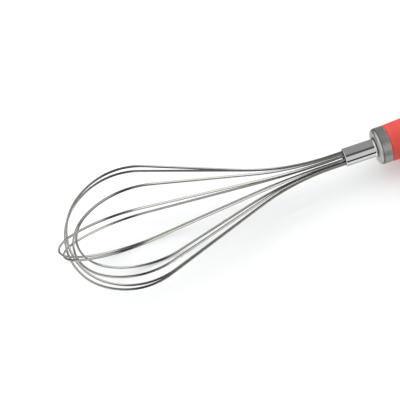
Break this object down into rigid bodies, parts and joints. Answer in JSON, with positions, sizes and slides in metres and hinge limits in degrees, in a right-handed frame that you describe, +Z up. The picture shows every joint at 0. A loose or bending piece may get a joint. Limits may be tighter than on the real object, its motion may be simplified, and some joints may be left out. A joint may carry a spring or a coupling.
{
  "type": "balloon whisk",
  "caption": "Balloon whisk: spring-wire loops in a polished ferrule, barrel grip between brushed end caps, and a swinging hanging ring.",
  "frame": {"origin": "centre of the bounding box on the plane that the whisk lies on", "axes": "+X along the whisk from the wire tips towards the hanging ring, +Y across it, +Z up from the table; the whisk's own axis runs in the X-Z plane, 6.0 degrees down towards the handle"},
  "size_m": [0.3372, 0.0712, 0.0733],
  "materials": {
    "loop_wire": "bright drawn stainless spring wire, lightly polished",
    "polished_steel": "polished stainless steel with faint lengthwise drawing lines",
    "brushed_cap": "stainless steel brushed round the axis, with a bright bevelled rim",
    "red_grip": "satin coral-red soft rubber with a fine moulded texture",
    "ring_wire": "polished stainless wire, butt welded",
    "hardware_steel": "plain machined steel",
    "bush_plastic": "natural moulded polypropylene",
    "epoxy": "cured dark epoxy potting"
  },
  "bodies": {
    "whisk": {"wire_loop_1": "loop_wire", "wire_loop_2": "loop_wire", "wire_loop_3": "loop_wire", "wire_loop_4": "loop_wire", "wire_loop_5": "loop_wire", "wire_loop_6": "loop_wire", "bundle_core": "hardware_steel", "epoxy_seal": "epoxy", "ferrule": "polished_steel", "ferrule_plug": "hardware_steel", "front_cap": "brushed_cap", "front_bush": "bush_plastic", "handle_tube": "hardware_steel", "grip_sleeve": "red_grip", "rear_bush": "bush_plastic", "rear_cap": "brushed_cap", "draw_rod": "hardware_steel", "lock_washer": "hardware_steel", "ring_eye": "polished_steel"},
    "ring": {"hang_ring": "ring_wire"}
  },
  "joints": [
    {"name": "ring_swing", "type": "hinge", "parent": "whisk", "child": "ring", "pos_m": [0.14406, -0.00062, 0.00951], "axis": [0, -1, 0], "range_deg": [-130, 158]}
  ]
}
